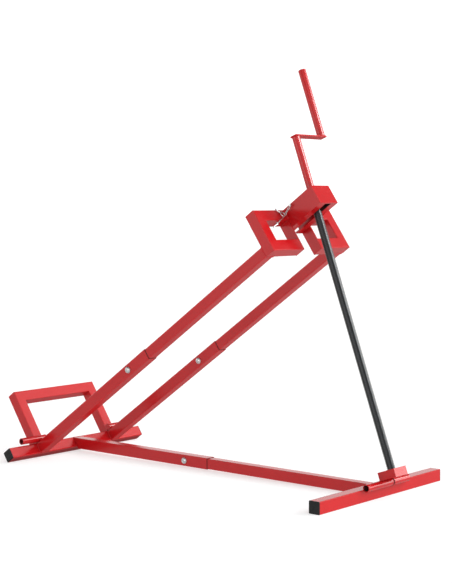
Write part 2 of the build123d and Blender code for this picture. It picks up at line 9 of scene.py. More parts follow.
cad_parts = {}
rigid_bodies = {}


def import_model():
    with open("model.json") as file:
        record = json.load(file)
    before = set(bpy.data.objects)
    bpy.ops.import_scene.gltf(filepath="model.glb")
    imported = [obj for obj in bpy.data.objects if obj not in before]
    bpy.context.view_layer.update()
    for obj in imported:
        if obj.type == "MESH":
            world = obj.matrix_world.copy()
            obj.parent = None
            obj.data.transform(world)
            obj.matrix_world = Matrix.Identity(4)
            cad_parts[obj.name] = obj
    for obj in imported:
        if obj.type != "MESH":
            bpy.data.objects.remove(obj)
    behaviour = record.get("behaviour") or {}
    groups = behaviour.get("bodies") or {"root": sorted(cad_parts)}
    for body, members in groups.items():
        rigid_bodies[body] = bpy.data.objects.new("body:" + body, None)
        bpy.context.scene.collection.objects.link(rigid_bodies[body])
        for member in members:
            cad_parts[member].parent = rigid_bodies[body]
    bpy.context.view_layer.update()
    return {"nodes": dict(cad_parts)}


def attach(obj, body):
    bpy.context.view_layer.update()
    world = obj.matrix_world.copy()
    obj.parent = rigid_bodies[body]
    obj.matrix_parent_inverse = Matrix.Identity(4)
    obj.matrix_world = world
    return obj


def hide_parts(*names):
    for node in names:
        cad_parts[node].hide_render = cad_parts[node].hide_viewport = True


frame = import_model()

# ------------------------------------------------------------------------------------------------
# Rear bar: 30 mm square steel tube across the back, turned with the arms so that it stands on one edge.
# Cut to length, notched for the hinge and sprayed with red powder, which bakes to a slightly pebbled skin.
MM = 0.001
REAR = np.array([-502.0, 0.0, 20.053]) * MM
ARM_LEAN = math.radians(34.1)
ARM_RUN = np.array([math.cos(ARM_LEAN), 0.0, math.sin(ARM_LEAN)])
LOWER_ARM_END = 528.0
DEEP_RED, LIGHT_RED = (0.40, 0.0035, 0.0055), (0.50, 0.0070, 0.0095)
SPECK_RED, EDGE_RED = (0.30, 0.004, 0.006), (0.58, 0.026, 0.026)
# The last colour is the dark red-brown of painted shade in hollows and near the floor, and of shade with dirt at seams
BARE_STEEL, SHADE_AND_DIRT = (0.30, 0.27, 0.25), (0.016, 0.004, 0.004)


def new_group(name, inputs, outputs):
    """Empty shader node group with named sockets; returns it with its input and output node."""
    group = bpy.data.node_groups.new(name, "ShaderNodeTree")
    for label, value in inputs:
        group.interface.new_socket(label, in_out="INPUT", socket_type="NodeSocketFloat").default_value = value
    for label in outputs:
        group.interface.new_socket(label, in_out="OUTPUT", socket_type="NodeSocketFloat")
    return group, group.nodes.new("NodeGroupInput"), group.nodes.new("NodeGroupOutput")


def put_out(group, end, *values):
    """Joins sockets to the outputs of a group, in their order."""
    for socket, value in zip(end.inputs, values):
        group.links.new(value, socket)


def node(tree, kind, settings, **links):
    """Adds one shader node. Settings are its properties; links are its inputs, by name or as i0, i1 ..., each a
    value or a socket."""
    made = tree.nodes.new("ShaderNode" + kind)
    for key, value in settings.items():
        setattr(made, key, value)
    for key, value in links.items():
        socket = made.inputs[int(key[1:])] if key[1:].isdigit() else made.inputs[key]
        if isinstance(value, bpy.types.NodeSocket):
            tree.links.new(value, socket)
        else:
            socket.default_value = value
    return made


def maths(tree, operation, *values):
    """One Math node on up to three values or sockets; returns its output."""
    return node(tree, "Math", {"operation": operation}, **{f"i{k}": v for k, v in enumerate(values)}).outputs[0]


def vector_maths(tree, operation, *values):
    """One Vector Math node; returns its value if it is a dot product or a length, and otherwise its vector."""
    made = node(tree, "VectorMath", {"operation": operation}, **{f"i{k}": v for k, v in enumerate(values)})
    return made.outputs["Value" if operation in ("DOT_PRODUCT", "LENGTH") else "Vector"]


def parts_of(tree, whole):
    """The three parts of a vector."""
    return node(tree, "SeparateXYZ", {}, i0=whole).outputs


def ease(tree, value, low, high, to_low=0.0, to_high=1.0):
    """Smooth step of a value from the range low to high onto another range; returns its output."""
    smooth = {"interpolation_type": "SMOOTHSTEP"}
    return node(tree, "MapRange", smooth, i0=value, i1=low, i2=high, i3=to_low, i4=to_high).outputs[0]


def object_place(tree):
    """Object coordinates in metres."""
    return node(tree, "TexCoord", {}).outputs["Object"]


def grain(tree, scale, detail=2.0, rough=0.5):
    """Noise on object coordinates with so many features per metre; returns its value."""
    place = object_place(tree)
    return node(tree, "TexNoise", {}, Vector=place, Scale=scale, Detail=detail, Roughness=rough).outputs[0]


def tint(tree, share, first, second):
    """Colour between two colours (or sockets) by a share; returns its output."""
    full = [c if isinstance(c, bpy.types.NodeSocket) else (*c, 1.0) for c in (first, second)]
    return node(tree, "Mix", {"data_type": "RGBA"}, i0=share, i6=full[0], i7=full[1]).outputs[2]


def finish(name, colour, rough, metal=None, height=None, strength=0.2, depth=0.0004, **fixed):
    """Material whose colour, roughness, metal and bump height come from the sockets that these functions give for
    its tree; the other words are fixed values of the shader."""
    material = bpy.data.materials.new(name)
    material.use_nodes = True
    tree = material.node_tree
    shader = tree.nodes["Principled BSDF"]
    for key, value in fixed.items():
        shader.inputs[key.replace("_", " ")].default_value = value
    for key, make in (("Base Color", colour), ("Roughness", rough), ("Metallic", metal)):
        if make:
            tree.links.new(make(tree), shader.inputs[key])
    if height:
        bump = node(tree, "Bump", {}, Strength=strength, Distance=depth, Height=height(tree))
        tree.links.new(bump.outputs[0], shader.inputs["Normal"])
    return material


# Powder skin: orange peel about 2 mm across, slow mottling of the baked coat and a few dark specks
skin_group, skin_in, skin_out = new_group("powder_skin", [("Peel", 480.0)], ["Height", "Mottle", "Speck"])
ripple = grain(skin_group, skin_in.outputs["Peel"], 2.0, 0.4)
cloud = grain(skin_group, 45.0, 3.0)
drift = maths(skin_group, "MULTIPLY", grain(skin_group, 7.0, 3.0), 0.6)
put_out(skin_group, skin_out,
        maths(skin_group, "MULTIPLY_ADD", cloud, 0.6, ripple),
        maths(skin_group, "MULTIPLY_ADD", cloud, 0.4, drift),
        ease(skin_group, grain(skin_group, 700.0, 1.0), 0.70, 0.80))

# Edge rub: on a tube's rounded edge the normal is square to none of its faces, so the largest part of the normal in
# the tube's own frame drops below 1; there the coat is thin and chips first
rub_group, rub_in, rub_out = new_group("edge_rub", [("Lean", 0.0), ("Chips", 0.4)], ["Edge", "Bare"])
facing = node(rub_group, "VectorRotate", {"rotation_type": "Y_AXIS"}, Angle=rub_in.outputs["Lean"],
              Vector=node(rub_group, "TexCoord", {}).outputs["Normal"]).outputs[0]
parts = parts_of(rub_group, vector_maths(rub_group, "ABSOLUTE", facing))
squarest = maths(rub_group, "MAXIMUM", maths(rub_group, "MAXIMUM", parts[0], parts[1]), parts[2])
ragged = maths(rub_group, "MULTIPLY", grain(rub_group, 70.0, 6.0, 0.7), ease(rub_group, squarest, 0.93, 0.76))
chip_start = maths(rub_group, "SUBTRACT", 0.98, rub_in.outputs["Chips"])
chip_full = maths(rub_group, "SUBTRACT", 1.04, rub_in.outputs["Chips"])
put_out(rub_group, rub_out, ease(rub_group, squarest, 0.995, 0.82), ease(rub_group, ragged, chip_start, chip_full))


def run_along(tree, way):
    """Distance in metres from the rear bar's middle along a direction."""
    out = vector_maths(tree, "SUBTRACT", object_place(tree), tuple(REAR))
    return vector_maths(tree, "DOT_PRODUCT", out, tuple(way))


def seam_shade_and_dirt(tree, way, end):
    """Mask of the thin dark line round a tube's open end, so many mm along a direction: painted shade of the gap
    between the tubes, with dirt and the uncoated cut edge. It is full up to half a millimetre from the line's middle
    and gone at 1.6 mm."""
    middle, full, gone, share = (end + 0.9) * MM, 0.5 * MM, 1.6 * MM, 0.8
    off = maths(tree, "ABSOLUTE", maths(tree, "SUBTRACT", run_along(tree, way), middle))
    return ease(tree, off, gone, full, 0.0, share)


def red_powder(name, lean, chips=0.36, edge=0.12, peel=0.04, dull=0.11, shine=0.5, dark=None):
    """Red powder coat on steel pieces that are squared to a frame leaning by an angle about Y: mottled red, a
    slightly paler red along rounded edges, bare steel in a few chips there, orange peel in the bump, and dark and
    matt where a mask says: painted shade in hollows and near the floor, and painted shade with dirt along seams."""
    def skin(tree, what):
        return node(tree, "Group", {"node_tree": skin_group}).outputs[what]

    def rub(tree, what):
        return node(tree, "Group", {"node_tree": rub_group}, Lean=lean, Chips=chips).outputs[what]

    def colour(tree):
        red = tint(tree, skin(tree, "Mottle"), DEEP_RED, LIGHT_RED)
        red = tint(tree, maths(tree, "MULTIPLY", skin(tree, "Speck"), 0.30), red, SPECK_RED)
        red = tint(tree, maths(tree, "MULTIPLY", rub(tree, "Edge"), edge), red, EDGE_RED)
        red = tint(tree, rub(tree, "Bare"), red, BARE_STEEL)
        return tint(tree, dark(tree), red, SHADE_AND_DIRT) if dark else red

    def rough(tree):
        baked = maths(tree, "MULTIPLY_ADD", skin(tree, "Mottle"), 0.14, dull)
        return maths(tree, "MULTIPLY_ADD", dark(tree), 0.6, baked) if dark else baked

    return finish(
        name, colour, rough, lambda tree: maths(tree, "MULTIPLY", rub(tree, "Bare"), 0.8),
        lambda tree: skin(tree, "Height"), strength=peel, Specular_IOR_Level=shine,
    )


def dress(material, *names):
    """Gives a material to CAD nodes by name."""
    for name in names:
        frame["nodes"][name].data.materials.clear()
        frame["nodes"][name].data.materials.append(material)


def floor_contact_shade(tree):
    """Mask of the bar's lowest 17 mm, where it stands on the floor: the coat is dulled and darkened as painted shade.
    """
    top, full, share = 17 * MM, 8 * MM, 0.45
    return ease(tree, parts_of(tree, object_place(tree))[2], top, full, 0.0, share)


# The rear bar's lowest part is darkened as painted shade where it stands on the floor
bar_red = red_powder("rear_bar_red_powder", ARM_LEAN, dark=floor_contact_shade)
# The arms' red has a dark line of painted shade with dirt at the splice
arm_red = red_powder("arm_red_powder", ARM_LEAN, dark=lambda tree: seam_shade_and_dirt(tree, ARM_RUN, LOWER_ARM_END))
dress(bar_red, "rear_bar")
dress(arm_red, "hinge_knuckle")

# ------------------------------------------------------------------------------------------------
# Plugs in the four open ends of the rear and front bars: black polyethylene, moulded with a square rim and
# three thin ribs that grip inside the tube. Pushed in by hand, so the rim lies flush on the tube's end.
SIDE = np.array([0.0, 1.0, 0.0])
TAGS, BOTH_SIDES = ("left", "right"), (1, -1)
ARM_RISE = np.array([-math.sin(ARM_LEAN), 0.0, math.cos(ARM_LEAN)])
PITCH = math.radians(0.51967)
BASE_RUN = np.array([math.cos(PITCH), 0.0, -math.sin(PITCH)])
BASE_RISE = np.array([math.sin(PITCH), 0.0, math.cos(PITCH)])
BAR_END, FRONT_BAR, BEAM_RISE = 249.0, 1051.3, 4.6


def along_ways(origin, *steps):
    """Point in metres: from an origin, so many mm along each of several directions; arrays give many points."""
    far = np.broadcast_arrays(*(np.asarray(mm, float)[..., None] for mm, _ in steps))
    return origin + sum(f * way for f, (_, way) in zip(far, steps)) * MM


def on_arms(run, side, rise):
    """Point of the lift frame: so far along the arms, across and square to them from the rear bar's middle."""
    return along_ways(REAR, (run, ARM_RUN), (side, SIDE), (rise, ARM_RISE))


def on_base(run, side, rise):
    """Point of the base: so far along the beam, across and up from the rear bar's middle."""
    return along_ways(REAR, (run, BASE_RUN), (side, SIDE), (rise, BASE_RISE))


def grid_faces(rows, columns, around=True, ring=False):
    """Quads between neighbours of a grid of points; around joins the last column to the first, ring the last row to
    the first."""
    r = np.arange(rows if ring else rows - 1)[:, None]
    c = np.arange(columns if around else columns - 1)[None, :]
    r2, c2 = (r + 1) % rows, (c + 1) % columns
    return np.stack([r * columns + c, r * columns + c2, r2 * columns + c2, r2 * columns + c], -1).reshape(-1, 4)


def lay(name, sheets, material, body, slot, *stands_for, sharp=38.0):
    """One object from several (points, faces) sheets: doubles merged, holes closed, normals outward, smooth up to a
    sharp angle."""
    starts = np.cumsum([0] + [len(points) for points, _ in sheets])
    faces = np.concatenate([f + start for (_, f), start in zip(sheets, starts)])
    mesh = bpy.data.meshes.new(name)
    mesh.from_pydata(np.concatenate([points for points, _ in sheets]), [], faces.tolist())
    work = bmesh.new()
    work.from_mesh(mesh)
    bmesh.ops.remove_doubles(work, verts=work.verts, dist=2e-6)
    bmesh.ops.dissolve_degenerate(work, edges=work.edges, dist=1e-7)
    bmesh.ops.holes_fill(work, edges=work.edges)
    bmesh.ops.recalc_face_normals(work, faces=work.faces)
    work.to_mesh(mesh)
    work.free()
    mesh.polygons.foreach_set("use_smooth", np.ones(len(mesh.polygons), bool))
    mesh.set_sharp_from_angle(angle=math.radians(sharp))
    mesh.materials.append(material)
    piece = bpy.data.objects.new(name, mesh)
    bpy.context.scene.collection.objects.link(piece)
    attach(piece, body)
    if stands_for:
        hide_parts(*stands_for)
    return piece


def square_ring(half, corner, steps=7):
    """Rounded square as (x, y) points: four quarter circles of the corner's radius about the corners' middles."""
    turn = np.radians(np.arange(4)[:, None] * 90 + np.linspace(0, 90, steps)[None, :]).reshape(-1)
    quarter = np.radians(np.repeat(np.arange(4) * 90 + 45, steps))
    middle = (half - corner) * math.sqrt(2)
    return np.stack([middle * np.cos(quarter) + corner * np.cos(turn),
                     middle * np.sin(quarter) + corner * np.sin(turn)], -1)


# Out from the bar's end, half width, corner radius: a shank with ribs, the rim, and a shallow panel with the moulding
# point in its middle
RIB_PLACES, SHANK, RIB = (-9.5, -6.5, -3.5), 13.2, 13.6
plug_rows = [(-12, 0, 0), (-12, 12.2, 2), (-11, SHANK, 2)]
for out in RIB_PLACES:
    plug_rows += [(out - 0.5, SHANK, 2), (out, RIB, 2), (out + 0.5, RIB, 2), (out + 0.9, SHANK, 2)]
plug_rows += [
    (-0.1, SHANK, 2), (0.02, 13.3, 2), (0.02, 14.95, 2), (1.1, 14.95, 2), (1.5, 14.84, 2), (1.8, 14.5, 2),
    (1.96, 14.0, 2), (1.98, 12.6, 1.8), (1.9, 12.2, 1.7), (1.62, 11.7, 1.5), (1.56, 11.2, 1.4), (1.62, 6, 2),
    (1.66, 2.6, 2.6), (1.5, 2.1, 2.1), (1.2, 1.9, 1.9), (1.2, 0, 0),
]


def plug(place, middle_run, middle_rise, side):
    """Sheet of one plug: rounded squares of each row's half width, set out from the bar's end by the row's first
    number."""
    rings = np.stack([square_ring(half, min(corner, half)) for _, half, corner in plug_rows])
    outs = np.array([row[0] for row in plug_rows])[:, None]
    points = place(middle_run + rings[..., 0], side * (BAR_END + outs), middle_rise + rings[..., 1])
    return points.reshape(-1, 3), grid_faces(len(plug_rows), rings.shape[1])


def clouded(first, second, scale, detail=2.0):
    """Maker of a colour that wanders between two colours, with so many clouds per metre."""
    return lambda tree: tint(tree, grain(tree, scale, detail), first, second)


def uneven(low, high, scale, detail=2.0):
    """Maker of a roughness that wanders from low (noise 0.3) to high (noise 0.7), with so many patches per metre."""
    return lambda tree: ease(tree, grain(tree, scale, detail), 0.3, 0.7, low, high)


def bumps(scale, detail):
    """Maker of a bump height with so many bumps per metre."""
    return lambda tree: grain(tree, scale, detail)


# Near black, a little greyer where the mould's surface is coarse
black_plastic = finish(
    "moulded_black_plastic", clouded((0.005, 0.0055, 0.0055), (0.010, 0.011, 0.011), 60.0, 4.0),
    uneven(0.42, 0.60, 160.0, 3.0), height=bumps(1500.0, 2.0), strength=0.25, depth=0.0002, Specular_IOR_Level=0.28,
)
for tag, side in zip(TAGS, BOTH_SIDES):
    rear_plug, front_plug = plug(on_arms, 0, 0, side), plug(on_base, FRONT_BAR, BEAM_RISE, side)
    lay(f"rear_plug_{tag}", [rear_plug], black_plastic, "lift_frame", "black_plastic", f"rear_cap_{tag}")
    lay(f"front_plug_{tag}", [front_plug], black_plastic, "base", "black_plastic", f"front_cap_{tag}")

# ------------------------------------------------------------------------------------------------
# Arms: a 30 mm tube welded to the rear bar and a slimmer tube pushed into its open end, one pair on each side.
# Both are sprayed red; the fillet welds at the rear bar are laid by hand before spraying and show through the coat.
HALF_TUBE, SLIM_HALF = 15.0, 13.7
ARM_SIDE = 137.0
OFF_FACE = 0.2      # weld beads run this far off the face that they lie on
dress(arm_red, *(f"{part}_{tag}" for part in ("lower_arm", "upper_arm") for tag in TAGS))


def unit(vectors):
    """Vectors of length 1 in the same directions."""
    return vectors / np.linalg.norm(vectors, axis=-1, keepdims=True)


def distances(path):
    """Distance along a path from its start, at each of its points."""
    return np.concatenate([[0], np.cumsum(np.linalg.norm(np.diff(path, axis=0), axis=1))])


def headings(path, closed):
    """Direction of a path at each point, from the point before it to the point after it."""
    if closed:
        return unit(np.roll(path, -1, 0) - np.roll(path, 1, 0))
    return unit(np.vstack([path[1:], path[-1:]]) - np.vstack([path[:1], path[:-1]]))


def straight(start, end, step=0.7 * MM):
    """Points along a straight run from start to end, about a step apart."""
    count = max(4, int(np.linalg.norm(end - start) / step))
    return start + (end - start) * np.linspace(0, 1, count)[:, None]


def carried(path, out, up, radius, columns, closed):
    """Sheet of a circle carried along a path: from each point the radius, times the cosine of the angle along one
    direction and its sine along another. The radius has a row for each point and a column for each angle, or one."""
    angle = np.linspace(0, 2 * np.pi, columns, endpoint=False)[None, :, None]
    points = path[:, None, :] + radius[..., None] * (np.cos(angle) * out[:, None, :] + np.sin(angle) * up)
    return points.reshape(-1, 3), grid_faces(len(path), columns, ring=closed)


def bead(path, normal, leg, closed=False, ripple=2.3, columns=16):
    """Sheet of a weld bead: a circle of the leg's radius carried along a path that lies in the plane of a normal.
    The radius swells and sinks once every ripple length, in crescents that lag towards the bead's toes, and wanders
    slowly; an open bead shrinks to nothing at both ends like the cap of an ellipse."""
    swell, wander, lag = 0.085, 0.05, 1.5
    normal = np.asarray(normal, float)
    out = unit(np.cross(headings(path, closed), normal))
    far = distances(path)
    around = np.linspace(0, 2 * np.pi, columns, endpoint=False)
    total = far[-1] + (np.linalg.norm(path[0] - path[-1]) if closed else 0)
    waves = max(1, round(total / (ripple * MM)))
    toes = np.abs(np.cos(2 * (around - np.pi / 4)))[None, :]
    phase = 2 * np.pi * waves * far[:, None] / total - lag * toes
    size = 1 + swell * np.cos(phase) + wander * np.sin(2 * np.pi * 3 * far / total)[:, None]
    if not closed:
        reach = np.clip(np.minimum(far, total - far) / (leg * MM), 0, 1)
        size = size * np.sqrt(np.clip(1 - (1 - reach) ** 2, 0, 1))[:, None]
    return carried(path, out, normal, leg * MM * size, columns, closed)


# Weld metal under the coat: the same red, but matt, because the powder lies rough on the ripples
weld_red = red_powder("weld_red_powder", 0.0, chips=0.0, dull=0.34, shine=0.25)
FOOT_LEG = 1.8
FRONT_REACH, TOP_BACK, TOP_FRONT = 13.6, -13.4, 13.0
face = HALF_TUBE + OFF_FACE
foot_beads = []
for y in (side * ARM_SIDE + edge * HALF_TUBE for side in BOTH_SIDES for edge in (-1, 1)):
    in_front = straight(on_arms(face, y, -FRONT_REACH), on_arms(face, y, FRONT_REACH))
    on_top = straight(on_arms(TOP_BACK, y, face), on_arms(TOP_FRONT, y, face))
    foot_beads += [bead(in_front, SIDE, FOOT_LEG), bead(on_top, SIDE, FOOT_LEG)]
lay("arm_foot_welds", foot_beads, weld_red, "lift_frame", "red_coat")

# ------------------------------------------------------------------------------------------------
# Splice bolts: three M10 button head bolts with a six-sided key hole, and flange nuts. Cold headed, thread rolled and
# bright zinc plated. Each goes through both tubes of a splice, with its head on the right and its nut on the left.
ARM_BOLT, BEAM_BOLT = 447.0, 439.0
KEY_FLATS, NUT_FLATS = 3.0, 8.0


def turned(profile, origin, axis, across, columns=48, shape=None):
    """Sheet of a turned piece: each row of the profile is (distance along the axis, radius) in mm, swept round the
    axis. A shape, a function of the angle, caps the radius of the rows that have a third number above 0."""
    profile = np.array([(*row, 0)[:3] for row in profile], float)
    angle = np.linspace(0, 2 * np.pi, columns, endpoint=False)
    radius = np.repeat(profile[:, 1:2], columns, 1)
    if shape is not None:
        radius = np.where(profile[:, 2:3] > 0, np.minimum(radius, shape(angle)[None, :]), radius)
    axis, across = np.asarray(axis, float), np.asarray(across, float)
    outward = np.cos(angle)[:, None] * across + np.sin(angle)[:, None] * np.cross(axis, across)
    points = np.asarray(origin) + profile[:, 0, None, None] * MM * axis + radius[..., None] * MM * outward
    return points.reshape(-1, 3), grid_faces(len(profile), columns)


def six_flats(flats):
    """Maker of a hexagon's radius at an angle: half the width across flats over the cosine of the angle from the
    nearest flat."""
    return lambda angle: flats / np.cos((angle + np.pi / 6) % (np.pi / 3) - np.pi / 6)


def threads(start, end, crest, root, pitch):
    """Profile rows of a rolled thread drawn as close rings: crest, flank, root, flank in every pitch."""
    turn = np.arange(start, end - pitch, pitch)[:, None] + np.array([0.0, 0.18, 0.5, 0.68])[None, :] * pitch
    return np.stack([turn, np.broadcast_to([crest, crest, root, root], turn.shape)], -1).reshape(-1, 2).tolist()


# Out from the tube's face and radius, with a 1 where the six flats cut: end and thread, shank, domed head, key hole
dome = np.radians(np.arange(0, 91, 10))
bolt_rows = [
    (-43, 0), (-43, 3.6), (-42.0, 4.7), *threads(-41.6, -27, 4.98, 4.2, 1.5), (-27, 4.9), (0, 4.9), (0, 8.55),
    (0.2, 8.75), *zip(0.5 + 5 * np.sin(dome), 3.75 + 5 * np.cos(dome)), (5.44, 3.62), (5.2, 3.6, 1), (2.5, 3.6, 1),
    (2.4, 3.0), (2.0, 0),
]
# The same for the nut: flange, six-sided body, chamfered top, bore
nut_rows = [
    (0, 5.05), (0, 9.7), (0.25, 10.0), (0.7, 10.0), (1.05, 9.8), (1.35, 9.45), (1.9, 9.0), (2.1, 9.3, 1),
    (2.4, 9.3, 1), (8.7, 9.3, 1), (9.0, 9.1, 1), (9.3, 8.85, 1), (9.6, 8.5, 1), (9.85, 8.1, 1), (9.98, 7.6),
    (10.0, 6.2), (9.3, 5.1), (5.0, 5.05), (0, 5.05),
]


def zinc_colour(tree):
    """Bright grey with the faint blue and straw clouds of a clear passivate."""
    grey = ease(tree, grain(tree, 120.0, 3.0), 0.35, 0.65)
    straw = ease(tree, grain(tree, 300.0, 2.0), 0.60, 0.75, 0.0, 0.5)
    return tint(tree, straw, tint(tree, grey, (0.62, 0.64, 0.66), (0.80, 0.80, 0.78)), (0.72, 0.66, 0.50))


bright_zinc = finish(
    "bright_zinc_plate", zinc_colour, uneven(0.16, 0.32, 400.0, 4.0),
    height=bumps(2200.0, 3.0), strength=0.12, depth=0.0001, Metallic=1.0,
)
for place, run, rise, y, body, named in (
    (on_arms, ARM_BOLT, 0, ARM_SIDE, "lift_frame", "arm_{}_left"),
    (on_arms, ARM_BOLT, 0, -ARM_SIDE, "lift_frame", "arm_{}_right"),
    (on_base, BEAM_BOLT, BEAM_RISE, 0, "base", "beam_{}"),
):
    bolt = turned(bolt_rows, place(run, y - HALF_TUBE, rise), -SIDE, ARM_RISE, shape=six_flats(KEY_FLATS))
    lay(named.format("button_bolt"), [bolt], bright_zinc, body, "zinc_steel", named.format("bolt"), sharp=25)
    nut = turned(nut_rows, place(run, y + HALF_TUBE, rise), SIDE, ARM_RUN, shape=six_flats(NUT_FLATS))
    lay(named.format("flange_nut"), [nut], bright_zinc, body, "zinc_steel", named.format("nut"), sharp=25)

# ------------------------------------------------------------------------------------------------
# Cradles: at each arm's top a post, a foot bar and a rail of the same square tube, mitred at the corners, and a
# flat inner plate. The mitres are welded and ground flush; the arm's end is welded all round to the post.
dress(arm_red, *(f"cradle_{part}_{tag}" for part in ("post", "foot", "rail", "plate") for tag in TAGS))
CRADLE_BACK = 1003.0
RAIL_FRONT = CRADLE_BACK + 2 * HALF_TUBE
HEAD_HALF = 35.0
PLATE_FACE = 38.2
ARM_LEG, HEAD_LEG, PLATE_LEG = 2.0, 2.4, 2.0
HEAD_BEAD = (73.0, 97.5)
PLATE_BEADS = (HALF_TUBE + OFF_FACE, 70.3)


def round_square(place_of, half, corner=3.0, step=0.7 * MM):
    """Closed path round a square with rounded corners; place_of turns its two coordinates in mm into points."""
    ring = square_ring(half, corner, 9)
    ring = np.vstack([ring, ring[:1]])
    far = distances(ring)
    at = np.linspace(0, far[-1], int(far[-1] * MM / step), endpoint=False)
    return place_of(np.interp(at, far, ring[:, 0]), np.interp(at, far, ring[:, 1]))


cradle_beads = []
for side in BOTH_SIDES:
    arm_end = round_square(lambda u, v: on_arms(CRADLE_BACK - OFF_FACE, side * ARM_SIDE + u, v), SLIM_HALF)
    head_wall = side * (HEAD_HALF + OFF_FACE)
    at_head = straight(*(on_arms(RAIL_FRONT, head_wall, rise) for rise in HEAD_BEAD))
    cradle_beads += [bead(arm_end, ARM_RUN, ARM_LEG, closed=True), bead(at_head, SIDE, HEAD_LEG)]
    for rise in PLATE_BEADS:
        ends = (on_arms(run, side * PLATE_FACE, rise) for run in (CRADLE_BACK + 2, RAIL_FRONT - 2))
        cradle_beads.append(bead(straight(*ends), SIDE, PLATE_LEG))
lay("cradle_welds", cradle_beads, weld_red, "lift_frame", "red_coat")

# ------------------------------------------------------------------------------------------------
# Head: a box of 4 mm plate between the two rails, open at the back and slotted underneath for the screw, with a
# bearing plate on each side wall for the nut. Welded and sprayed; the red inside is darkened as painted shade.
CRADLE_TOP = 100.5
HEAD_FRONT, HEAD_WALL, HEAD_HEIGHT = 1136.0, 4.0, 51.0
HEAD_SHADE_START, HEAD_SHADE_FULL, HEAD_SHADE_LEAST = 1075.0, 1106.0, 0.05


def head_inside_shade(tree):
    """Mask of painted shade on the box's inner faces, between its side walls, below its top, above its lower edge and
    behind its front; weaker towards the open back."""
    slack = 0.1
    across = maths(tree, "ABSOLUTE", parts_of(tree, object_place(tree))[1])
    along, up = run_along(tree, ARM_RUN), run_along(tree, ARM_RISE)
    between = maths(tree, "LESS_THAN", across, (HEAD_HALF - HEAD_WALL + slack) * MM)
    below = maths(tree, "LESS_THAN", up, (CRADLE_TOP - HEAD_WALL + slack) * MM)
    above = maths(tree, "GREATER_THAN", up, (CRADLE_TOP - HEAD_HEIGHT + slack) * MM)
    behind = maths(tree, "LESS_THAN", along, (HEAD_FRONT - HEAD_WALL + slack) * MM)
    box = maths(tree, "MULTIPLY", maths(tree, "MULTIPLY", between, below), maths(tree, "MULTIPLY", above, behind))
    return maths(tree, "MULTIPLY", box, ease(tree, along, HEAD_SHADE_START * MM, HEAD_SHADE_FULL * MM, HEAD_SHADE_LEAST, 1.0))


# The head's red is darkened inside the box as painted shade
head_red = red_powder("head_red_powder", ARM_LEAN, dark=head_inside_shade)
dress(head_red, "head_top", "head_face")
dress(head_red, *(f"{part}_{tag}" for part in ("head_side", "trunnion_plate") for tag in TAGS))

# ------------------------------------------------------------------------------------------------
# Rear bracket: two legs of square tube on the rear bar and a mitred bar across them, and a socket of round tube in
# each corner of leg and arm, open outwards and closed inside, held by a weld above and a weld in front.
dress(arm_red, "bracket_bar", "bracket_leg_left", "bracket_leg_right")
ROUND_COAT = dict(chips=0.0, edge=0.0, peel=0.012)
TUBE_BORE = 7.0
SOCKET_MIDDLE = on_arms(24, 0, 24)
SOCKET_CLOSED, SOCKET_SHADE = 124.0, 0.72
SOCKET_LEG, BEAD_HALF = 2.6, 12.0
BEAD_LOW, BEAD_HIGH = 16.2, 31.2


def bore_shade(tree, middle, share):
    """Mask of painted shade, up to a share, in the bore of a tube that lies across the jack through a middle point,
    and on a little of its rim: by the distance from the tube's axis."""
    out = vector_maths(tree, "SUBTRACT", object_place(tree), tuple(middle))
    off = vector_maths(tree, "LENGTH", vector_maths(tree, "MULTIPLY", out, (1, 0, 1)))
    return ease(tree, off, (TUBE_BORE + 0.7) * MM, (TUBE_BORE + 0.3) * MM, 0.0, share)


def socket_bore_shade(tree):
    """Mask of the sockets' bores, which are painted dark as shade; their inner ends are closed and red."""
    across = maths(tree, "ABSOLUTE", parts_of(tree, object_place(tree))[1])
    outside = maths(tree, "GREATER_THAN", across, SOCKET_CLOSED * MM)
    return maths(tree, "MULTIPLY", bore_shade(tree, SOCKET_MIDDLE, SOCKET_SHADE), outside)


# The sockets' open bores are darkened as painted shade
socket_red = red_powder("socket_red_powder", 0.0, dull=0.14, dark=socket_bore_shade, **ROUND_COAT)
dress(socket_red, "socket_left", "socket_right")
socket_beads = []
for side in BOTH_SIDES:
    ends = side * (ARM_SIDE - BEAD_HALF), side * (ARM_SIDE + BEAD_HALF)
    above = straight(*(on_arms(BEAD_LOW, y, BEAD_HIGH) for y in ends))
    in_front = straight(*(on_arms(BEAD_HIGH, y, BEAD_LOW) for y in ends))
    socket_beads += [bead(above, ARM_RISE, SOCKET_LEG), bead(in_front, ARM_RUN, SOCKET_LEG)]
lay("socket_welds", socket_beads, weld_red, "lift_frame", "red_coat")

# ------------------------------------------------------------------------------------------------
# Base: a 30 mm tube hinged to the rear bar, a slimmer tube bolted inside it and the front bar welded across its end.
# The same red powder coat; the front bar lies flat on the floor.
BEAM_SEAM = 518.0
BEAM_END = FRONT_BAR - HALF_TUBE
BEAM_LEG, BEAD_FOOT = 2.0, -10.5
# The base's red has a dark line of painted shade with dirt at the splice
base_red = red_powder("base_red_powder", -PITCH, dark=lambda tree: seam_shade_and_dirt(tree, BASE_RUN, BEAM_SEAM))
dress(base_red, "rear_beam", "front_beam", "front_bar", "hinge_ear_left", "hinge_ear_right", "sleeve_seat")
# The weld goes up one side of the slim tube, over its top and down the other side
corners = np.array([(-SLIM_HALF, BEAD_FOOT), (-SLIM_HALF, SLIM_HALF), (SLIM_HALF, SLIM_HALF), (SLIM_HALF, BEAD_FOOT)])
legs = distances(corners)
along = np.linspace(0, legs[-1], 110)
across, up = np.interp(along, legs, corners[:, 0]), np.interp(along, legs, corners[:, 1])
saddle = on_base(BEAM_END - OFF_FACE, across, BEAM_RISE + up)
lay("beam_end_weld", [bead(saddle, BASE_RUN, BEAM_LEG)], weld_red, "base", "red_coat")

